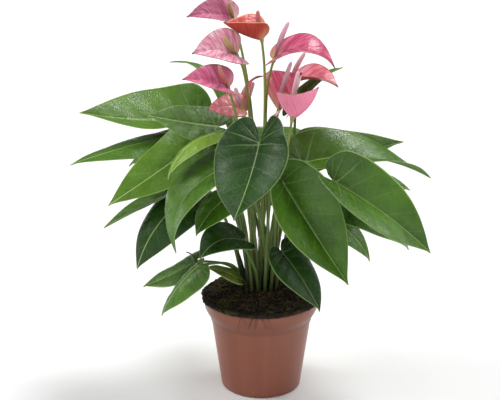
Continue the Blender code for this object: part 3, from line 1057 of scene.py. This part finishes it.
@dataclass
class Pot:
    """The moulded nursery pot, with its deep band, its fine step and its drain notches."""

    steps: int = 180
    notches: int = 8
    notch: tuple[float, float, float] = (9.0, 9.0, 3.0)

    def profile(self) -> list:
        """The section, down the outer side and back up the inner one.

        Returns:
            (radius, height) pairs.
        """
        lip = (0.9, 0.0)
        band = BAND_HEIGHT
        insets = (
            lip, (0.35, 0.15), (0.0, 0.8), (0.2, 2.6), (0.9, 6.0), (1.7, 9.4), (3.3, 13.0), (5.4, 16.6),
            (6.8, 19.0), (7.2, 20.6), (7.5, band - 0.5), (7.7, band), (8.4, band + 0.35), (8.6, band + 1.4),
        )
        outside = [(POT_RADIUS - inset, POT_HEIGHT - down) for inset, down in insets]
        foot = [(BASE_RADIUS + out, z) for out, z in ((0.1, 3.2), (-0.2, 1.6), (-1.0, 0.5), (-2.5, 0.0))]
        inside = [(0.0, 0.0), (0.0, 2 * WALL), *inner_wall(WALL, 2 * WALL, 0.8)]
        return outside + foot + inside + outside[:1]

    def cut_notch(self, pot: Object, angle: float) -> None:
        """Cuts one drain notch through the edge of the foot.

        Args:
            pot: The pot.
            angle: Where the notch lies, in radians.
        """
        cutter = bmesh.new()
        bmesh.ops.create_cube(cutter, size=1.0)
        bmesh.ops.scale(cutter, vec=[side * MM for side in self.notch], verts=cutter.verts)
        mesh = bpy.data.meshes.new("notch")
        cutter.to_mesh(mesh)
        cutter.free()
        notch = linked("notch", mesh)
        notch.location = (BASE_RADIUS * MM * math.cos(angle), BASE_RADIUS * MM * math.sin(angle), 0.0)
        notch.rotation_euler = (0.0, 0.0, angle)
        cut = pot.modifiers.new("notch", "BOOLEAN")
        cut.operation = "DIFFERENCE"
        cut.object = notch
        bpy.context.view_layer.update()
        evaluated = pot.evaluated_get(bpy.context.evaluated_depsgraph_get())
        made = bpy.data.meshes.new_from_object(evaluated)
        pot.modifiers.clear()
        pot.data = made
        bpy.data.objects.remove(notch, do_unlink=True)

    def build(self) -> None:
        """Turns the pot, cuts its notches and dresses it."""
        profile = self.profile()
        shape = Shape()
        shape.rings(revolved(profile, self.steps), len(profile))
        pot = shape.piece("fine_pot", [PotPlastic("clay_polypropylene", 0.36, 1.49)], "pot", "pot")
        for k in range(self.notches):
            self.cut_notch(pot, TURN * (k + 0.5) / self.notches)
        pot.data.set_sharp_from_angle(angle=math.radians(40))


@dataclass
class PeatMound:
    """The peat in the pot, its crumbs and the thin roots that show at its top."""

    steps: int = 150
    rings: int = 44
    crumbs: int = 900
    fibres: int = 190
    hanging: int = 11
    rising: int = 34

    def surface(self, x: float, y: float) -> float:
        """The top of the peat with its crumb, at a place.

        Args:
            x: The place.
            y: The place.

        Returns:
            The height.
        """
        furrows = math.sin(0.8 * y + 1.1 * math.sin(0.37 * x))
        rough = 0.9 * math.sin(0.9 * x + 1.3 * math.sin(0.31 * y)) * furrows
        fine = 0.45 * math.sin(2.3 * x + 0.7) * math.sin(2.1 * y + 1.9 + math.sin(0.9 * x))
        return soil_height(x, y) + rough + fine

    def scatter(self, rng: random.Random, reach: float) -> tuple[float, float, float]:
        """Draws a place, evenly over a disc.

        Args:
            rng: Where the draws come from.
            reach: The disc's radius.

        Returns:
            The place, and its distance from the middle.
        """
        r = reach * math.sqrt(rng.random())
        turn = rng.uniform(0, TURN)
        return r * math.cos(turn), r * math.sin(turn), r

    def build_mound(self) -> None:
        """Builds the mound, down to the pot's floor."""
        floor = 2 * WALL + CLEARANCE
        rim = POT_RADIUS + SOIL_OVERHANG
        shoulder = [
            (POT_RADIUS - 1.2, SOIL_LEVEL + 3.0), (POT_RADIUS + 0.6, SOIL_LEVEL + 2.2),
            (rim - 0.4, SOIL_LEVEL + 1.0), (rim, SOIL_LEVEL), (rim - 0.6, POT_HEIGHT + 0.6),
        ]
        wall = inner_wall(WALL + CLEARANCE + 0.4, floor, 0.2)
        top = [(r, SOIL_LEVEL) for r in np.linspace(0.0, SOIL_TOP, self.rings)]
        section = [*top, *shoulder, *reversed(wall), (0.0, floor)]
        points = revolved(section, self.steps)
        for spot in points[:self.rings].reshape(-1, 3):
            spot[2] = self.surface(spot[0], spot[1])
        for i in range(self.rings, self.rings + len(shoulder)):
            for j, spot in enumerate(points[i]):
                spot[:2] *= 1 + 0.012 * math.sin(0.35 * j + i) + 0.008 * math.sin(1.7 * j)
                spot[2] += 0.5 * math.sin(0.8 * j) * (i % 2)
        shape = Shape()
        shape.rings(points, len(section))
        shape.piece("fine_soil", [Peat("moist_peat", 0.85, 1.4)], "peat", "soil")

    def build_crumbs(self, rng: random.Random) -> None:
        """Scatters lumps of peat over the mound.

        Args:
            rng: Where the draws come from.
        """
        ball = bmesh.new()
        bmesh.ops.create_icosphere(ball, subdivisions=1, radius=1.0)
        corners = np.array([v.co for v in ball.verts])
        faces = [tuple(v.index for v in f.verts) for f in ball.faces]
        ball.free()
        shape = Shape()
        for _ in range(self.crumbs):
            x, y, r = self.scatter(rng, 61.0)
            size = rng.uniform(0.7, 2.4) * (0.75 if r > 56 else 1.0)
            scale = np.array([rng.uniform(0.7, 1.4), rng.uniform(0.7, 1.4), rng.uniform(0.5, 0.9)]) * size
            knobs = np.array([rng.uniform(0.75, 1.2) for _ in corners])[:, None]
            z = self.surface(x, y) if r < SOIL_TOP else SOIL_LEVEL + 3.0 - (r - SOIL_TOP) * 0.5
            points = corners * knobs * scale + (x, y, z + 0.2 * size)
            shape.add(points, faces, [(0.5,) * 4] * (3 * len(faces)), [0] * len(faces))
        shape.piece("soil_crumbs", [Peat("peat_crumbs", 0.9, 1.4, "#1a150f", "#3a2d1f")], "peat")

    def build_fibres(self, rng: random.Random) -> None:
        """Lays thin fibres on the mound.

        Args:
            rng: Where the draws come from.
        """
        shape = Shape()
        for _ in range(self.fibres):
            x, y, _ = self.scatter(rng, 58.0)
            heading = rng.uniform(0, TURN)
            spots = []
            for _ in range(6):
                lift = rng.uniform(0.4, 2.2)
                if math.hypot(x, y) > POT_RADIUS:
                    break
                spots.append((x, y, self.surface(x, y) + lift))
                heading += rng.uniform(-0.6, 0.6)
                x += 2.6 * math.cos(heading)
                y += 2.6 * math.sin(heading)
            if len(spots) > 2:
                shape.tube(smooth_path(spots, 10), np.linspace(0.26, 0.12, 10), 5)
        skin = StalkSkin("peat_fibre", 0.8, 1.4, "#6c5630", "#9a8248", "#6c5630")
        shape.piece("soil_fibres", [skin], "peat")

    def build_roots(self, rng: random.Random) -> None:
        """Hangs thin roots over the front of the rim, and stands others among the stalks.

        Args:
            rng: Where the draws come from.
        """
        shape = Shape()
        out = POT_RADIUS + SOIL_OVERHANG
        for _ in range(self.hanging):
            turn = math.radians(rng.gauss(-96.0, 6.0))
            drop = rng.uniform(5.0, 19.0)
            sway = rng.uniform(-0.05, 0.05)
            section = [
                (out - 4.0, SOIL_LEVEL + 2.4), (out + 0.4, SOIL_LEVEL),
                (out - 0.3, POT_HEIGHT - 0.4 * drop), (out - 1.4, POT_HEIGHT - drop),
            ]
            path = [
                (r * math.cos(turn + sway * k), r * math.sin(turn + sway * k), z)
                for k, (r, z) in enumerate(section)
            ]
            shape.tube(smooth_path(path, 14), np.linspace(0.24, 0.12, 14), 5)
        for _ in range(self.rising):
            turn = rng.uniform(0, TURN)
            r = 24.0 * math.sqrt(rng.random())
            x, y = r * math.cos(turn), r * math.sin(turn)
            top = rng.uniform(24.0, 62.0)
            path = [
                (x * (1 + 0.004 * z) + rng.uniform(-1, 1), y * (1 + 0.004 * z) + rng.uniform(-1, 1),
                 soil_height(x, y) - 2.0 + z)
                for z in (0.0, 0.3 * top, 0.65 * top, top)
            ]
            shape.tube(smooth_path(path, 12), np.linspace(0.75, 0.25, 12), 6)
        # Their feet are painted darker near the peat, as shade
        skin = StalkSkin("aerial_root", 0.75, 1.4, "#29300f", "#46501f", "#17140b")
        shape.piece("thin_roots", [skin], "peat")


@dataclass
class Studio:
    """The plain pale floor, the soft lights and the camera of the photograph."""

    eye: tuple[float, float, float] = (0.0, -1.3, 0.632)
    pitch: float = 71.72
    yaw: float = 0.507
    lens: float = 97.1
    floor_radius: float = 12.0
    room: float = 0.22

    def build_camera(self) -> None:
        """Makes the camera and gives it to the scene."""
        data = bpy.data.cameras.new("camera")
        data.lens = self.lens
        data.sensor_width = 36.0
        camera = linked("camera", data)
        camera.location = self.eye
        camera.rotation_euler = (math.radians(self.pitch), 0.0, math.radians(self.yaw))
        bpy.context.scene.camera = camera

    def build_floor(self) -> None:
        """Makes the floor, a wide pale disc of matt paper."""
        mesh = bpy.data.meshes.new("floor")
        disc = bmesh.new()
        bmesh.ops.create_circle(disc, cap_ends=True, radius=self.floor_radius, segments=96)
        disc.to_mesh(mesh)
        disc.free()
        paper = Nodes(Finish("white_paper", 0.9, 1.5))
        paper.shader.inputs["Base Color"].default_value = linear("#f4f4f4")
        mesh.materials.append(paper.material)
        linked("floor", mesh)

    def sun(self, name: str, direction: tuple, width: float, power: float) -> None:
        """Adds a wide, far light, as a large softbox gives.

        Args:
            name: Its name.
            direction: Where it stands, seen from the plant.
            width: How wide it looks, in degrees.
            power: Its power in watts per square metre.
        """
        data = bpy.data.lights.new(name, "SUN")
        data.energy = power
        data.angle = math.radians(width)
        aim = -unit(np.array(direction))
        turn = math.atan2(aim[1], aim[0]) - math.pi / 2
        linked(name, data).rotation_euler = (math.acos(-aim[2]), 0.0, turn)

    def build(self) -> None:
        """Sets the whole stage."""
        self.build_camera()
        self.build_floor()
        self.sun("left_softbox", (-0.75, 0.05, 0.66), 28.0, 1.3)
        self.sun("top_softbox", (0.33, 0.28, 0.90), 24.0, 1.9)
        self.sun("right_softbox", (0.84, 0.30, 0.45), 18.0, 0.5)
        self.sun("front_dome", (-0.1, -0.8, 0.6), 130.0, 1.3)
        world = bpy.data.worlds.new("white_room")
        world.use_nodes = True
        light = world.node_tree.nodes["Background"].inputs
        light["Color"].default_value = (1.0, 1.0, 1.0, 1.0)
        light["Strength"].default_value = self.room
        bpy.context.scene.world = world
        bpy.context.scene.view_settings.view_transform = "Standard"


@dataclass
class Plant:
    """Every leaf and flower, in the order in which the edges' phases are drawn."""

    seed: int = 4

    def leaves(self) -> list[Leaf]:
        """Lists the leaves, each with its joint, tip, width, bow, roll, fold, droop and so on.

        Returns:
            The leaves.
        """
        leaf = Leaf.of
        bright = {"tone": Tone.BRIGHT}
        dark = {"tone": Tone.DARK}
        return [
            leaf("left_top", (-68, 82, 265), (-189, 54, 280), 88, -0.04, -18, 23, 14, 22, 0.7, **bright),
            leaf("left_upper", (-44, 6, 278), (-111, -23, 297), 49, -0.02, -37, 10, 20, 1, 1.0),
            leaf("left_long", (-72, 61, 258), (-195, 11, 236), 59, 0.02, -6, 4, 39, 10, 0.6),
            leaf("left_middle", (-60, 13, 262), (-151, -45, 211), 66, -0.01, -18, 8, 20, 20, 0.5, **bright),
            leaf("young", (-48, -34, 281), (-91, -54, 241), 33, 0.15, 4, 3, 49, 0, 1.0,
                 stalk=1.3, tone=Tone.LIME),
            leaf("front_left", (-34, -59, 255), (-83, -75, 172), 81, 0.22, -1, 16, 21, 3, 0.6),
            leaf("left_edge", (-67, -7, 223), (-159, -22, 180), 54, 0.01, 2, 25, 31, 10, 0.8),
            leaf("left_low", (-72, -7, 210), (-125, -36, 140), 55, 0.23, -35, 0, 60, 11, 0.9, **dark),
            leaf("front_centre", (-2, -83, 286), (-25, -149, 232), 80, -0.04, 12, 19, 34, 22, 1.4,
                 fan=0.7, **dark),
            leaf("front_right", (20, -42, 236), (85, -80, 142), 81, -0.02, 39, 38, 20, 23, 0.7),
            leaf("right_outer", (69, -57, 241), (167, -55, 166), 72, 0.06, 45, 28, 20, 24, 0.6, fan=0.6),
            leaf("right_top", (41, -11, 245), (171, -5, 228), 70, 0.13, 22, 18, 11, 16, 0.9, -53),
            leaf("right_back", (44, 23, 242), (146, 35, 255), 62, -0.05, 21, 29, 16, 24, 0.7),
            leaf("right_low", (59, 18, 184), (113, 8, 133), 44, 0.12, 20, 12, 35, 0, 0.6),
            leaf("front_low", (20, -42, 163), (59, -59, 105), 57, 0.04, 10, 22, 45, 2, 0.6, **dark),
            leaf("curled", (-21, -40, 174), (-61, -57, 159), 52, 0.24, -15, 19, 25, 2, 0.9, **dark),
            leaf("shoot_upper", (-67, -25, 145), (-121, -18, 115), 42, -0.03, -18, 15, 47, 2, 1.1,
                 stalk=1.3, bud=True),
            leaf("shoot_lower", (-62, -60, 154), (-99, -66, 103), 43, 0.07, -10, 1, 72, 1, 0.7, stalk=1.3),
            leaf("small", (-24, -28, 128), (-56, -38, 144), 21, 0.08, -23, 8, 40, 17, 0.9,
                 stalk=1.2, tone=Tone.OLIVE),
            leaf("back_left_top", (-30, 50, 281), (-96, 75, 329), 44, 0.22, 13, 11, 58, 0, 1.4, **bright),
            leaf("back_right_top", (34, 52, 287), (84, 69, 325), 30, 0.09, 0, 18, 27, 20, 1.1),
            leaf("right_inner", (88, 44, 199), (156, 42, 200), 52, 0.14, 15),
            leaf("right_under", (79, -14, 202), (151, -8, 152), 50, 0.12, 25),
            leaf("inner_left", (-29, -34, 219), (-64, -60, 185), 44, 0.12, -10, 12, 35, 0, 0.5),
            leaf("back_left", (-62, 78, 232), (-142, 76, 215), 52, 0.14, -15),
            leaf("back_a", (40, 48, 228), (98, 125, 200), 68, 0.14, 0),
            leaf("back_b", (11, 66, 248), (6, 152, 214), 70, 0.18, 0),
            leaf("back_c", (-8, 72, 180), (-40, 150, 155), 68, 0.14, 0),
        ]

    def flowers(self) -> list[Flower]:
        """Lists the flowers, each with its joint, tip and spadix's end, and its spathe's form.

        Returns:
            The flowers.
        """
        bloom = Flower.of
        lilac = SpadixSkin("lilac_florets", 0.6, 1.4)
        ochre = SpadixSkin("ochre_florets", 0.6, 1.4, "#8a7a44", "#b8a06a", "#d8c79a")
        rosy = SpadixSkin("rosy_florets", 0.6, 1.4, "#a0544e", "#c47a74", "#dca898")
        return [
            bloom("left_top", (-28, 48, 378), (-75, 25, 385), (-33, 32, 399), (38, 0.13, -40, 30, 10, 9, 1.3),
                  ochre, "#b85e80", "#e89ab4", "#8e3a5a", "#f6e0d2", "#c77f90"),
            bloom("top", (0, -4, 368), (-37, -11, 387), (-4, -4, 397), (58, -0.06, -2, 44, 7, 7, 1.1),
                  rosy, "#d04642", "#f07e78", "#8c2a28", "#f0b898", "#c0483c", "#eec4a0"),
            bloom("left", (-24, -15, 355), (-67, -36, 361), (-36, -43, 379), (47, 0.14, -42, 28, 12, 8, 0.5),
                  ochre, "#e088a4", "#fbdfe6", "#b84e76", "#d8a888", "#8a8a50"),
            bloom("left_low", (-32, -40, 328), (-75, -61, 342), (-40, -64, 356),
                  (39, 0.09, -40, 30, 11, 8, 0.9),
                  rosy, "#d05f88", "#ec8cae", "#93385a", "#e8a8a0", "#8c4450"),
            bloom("small", (-19, -1, 298), (-54, -8, 299), (-26, -6, 321), (36, 0.10, -30, 12, 20, 20, 0.6),
                  lilac, "#b8646a", "#dc8f98", "#86443c", "#a88858", "#a08a50"),
            bloom("inner", (-17, 20, 291), (2, 50, 320), (-8, 38, 316), (34, 0.24, -48, 11, 55, 9, 0.8),
                  lilac, "#a83c52", "#c85c72", "#6a2a34", "#b48060", "#b04a5a"),
            bloom("right_top", (12, 0, 347), (72, -9, 341), (26, -10, 387), (54, 0.29, 12, 23, 25, 3, 0.7),
                  lilac, "#c2466c", "#e27e9c", "#a02e56", "#c9b76a", "#f0a0b4"),
            bloom("cup", (17, 15, 292), (39, 0, 335), (29, -7, 347), (84, -0.11, 46, 31, 5, 2, 0.4),
                  lilac, "#d84a6c", "#f084a0", "#a82c50", "#d8c090", "#f0a8ac"),
            bloom("right", (27, 55, 308), (78, 34, 312), (44, 46, 345), (62, 0.15, 2, 29, 23, 1, 0.7),
                  lilac, "#cc5c6c", "#f0a0ac", "#a03848", "#e0a888", "#d8646a"),
            bloom("front", (29, -52, 301), (54, -48, 332), (35, -42, 346), (79, -0.11, -22, 31, 10, 30, 0.8),
                  lilac, "#a88a50", "#c9b078", "#d8688c", "#e890a4", "#f58cab"),
        ]

    def build(self) -> None:
        """Builds them all."""
        random.seed(self.seed)
        plants = [*self.leaves(), *self.flowers()]
        phases = [random.uniform(0, TURN) for _ in plants]
        for one, phase in zip(plants, phases):
            if isinstance(one, Leaf):
                one.build(phase)
            else:
                one.build_stalk()
                one.build_spathe(phase)
                one.build_spadix()


def main() -> None:
    """Builds the whole scene."""
    logging.basicConfig(level=logging.INFO, format="%(message)s")
    Studio().build()
    Pot().build()
    peat = PeatMound()
    rng = random.Random(11)
    peat.build_mound()
    peat.build_crumbs(rng)
    peat.build_fibres(rng)
    peat.build_roots(rng)
    Plant().build()


if __name__ == "__main__":
    main()
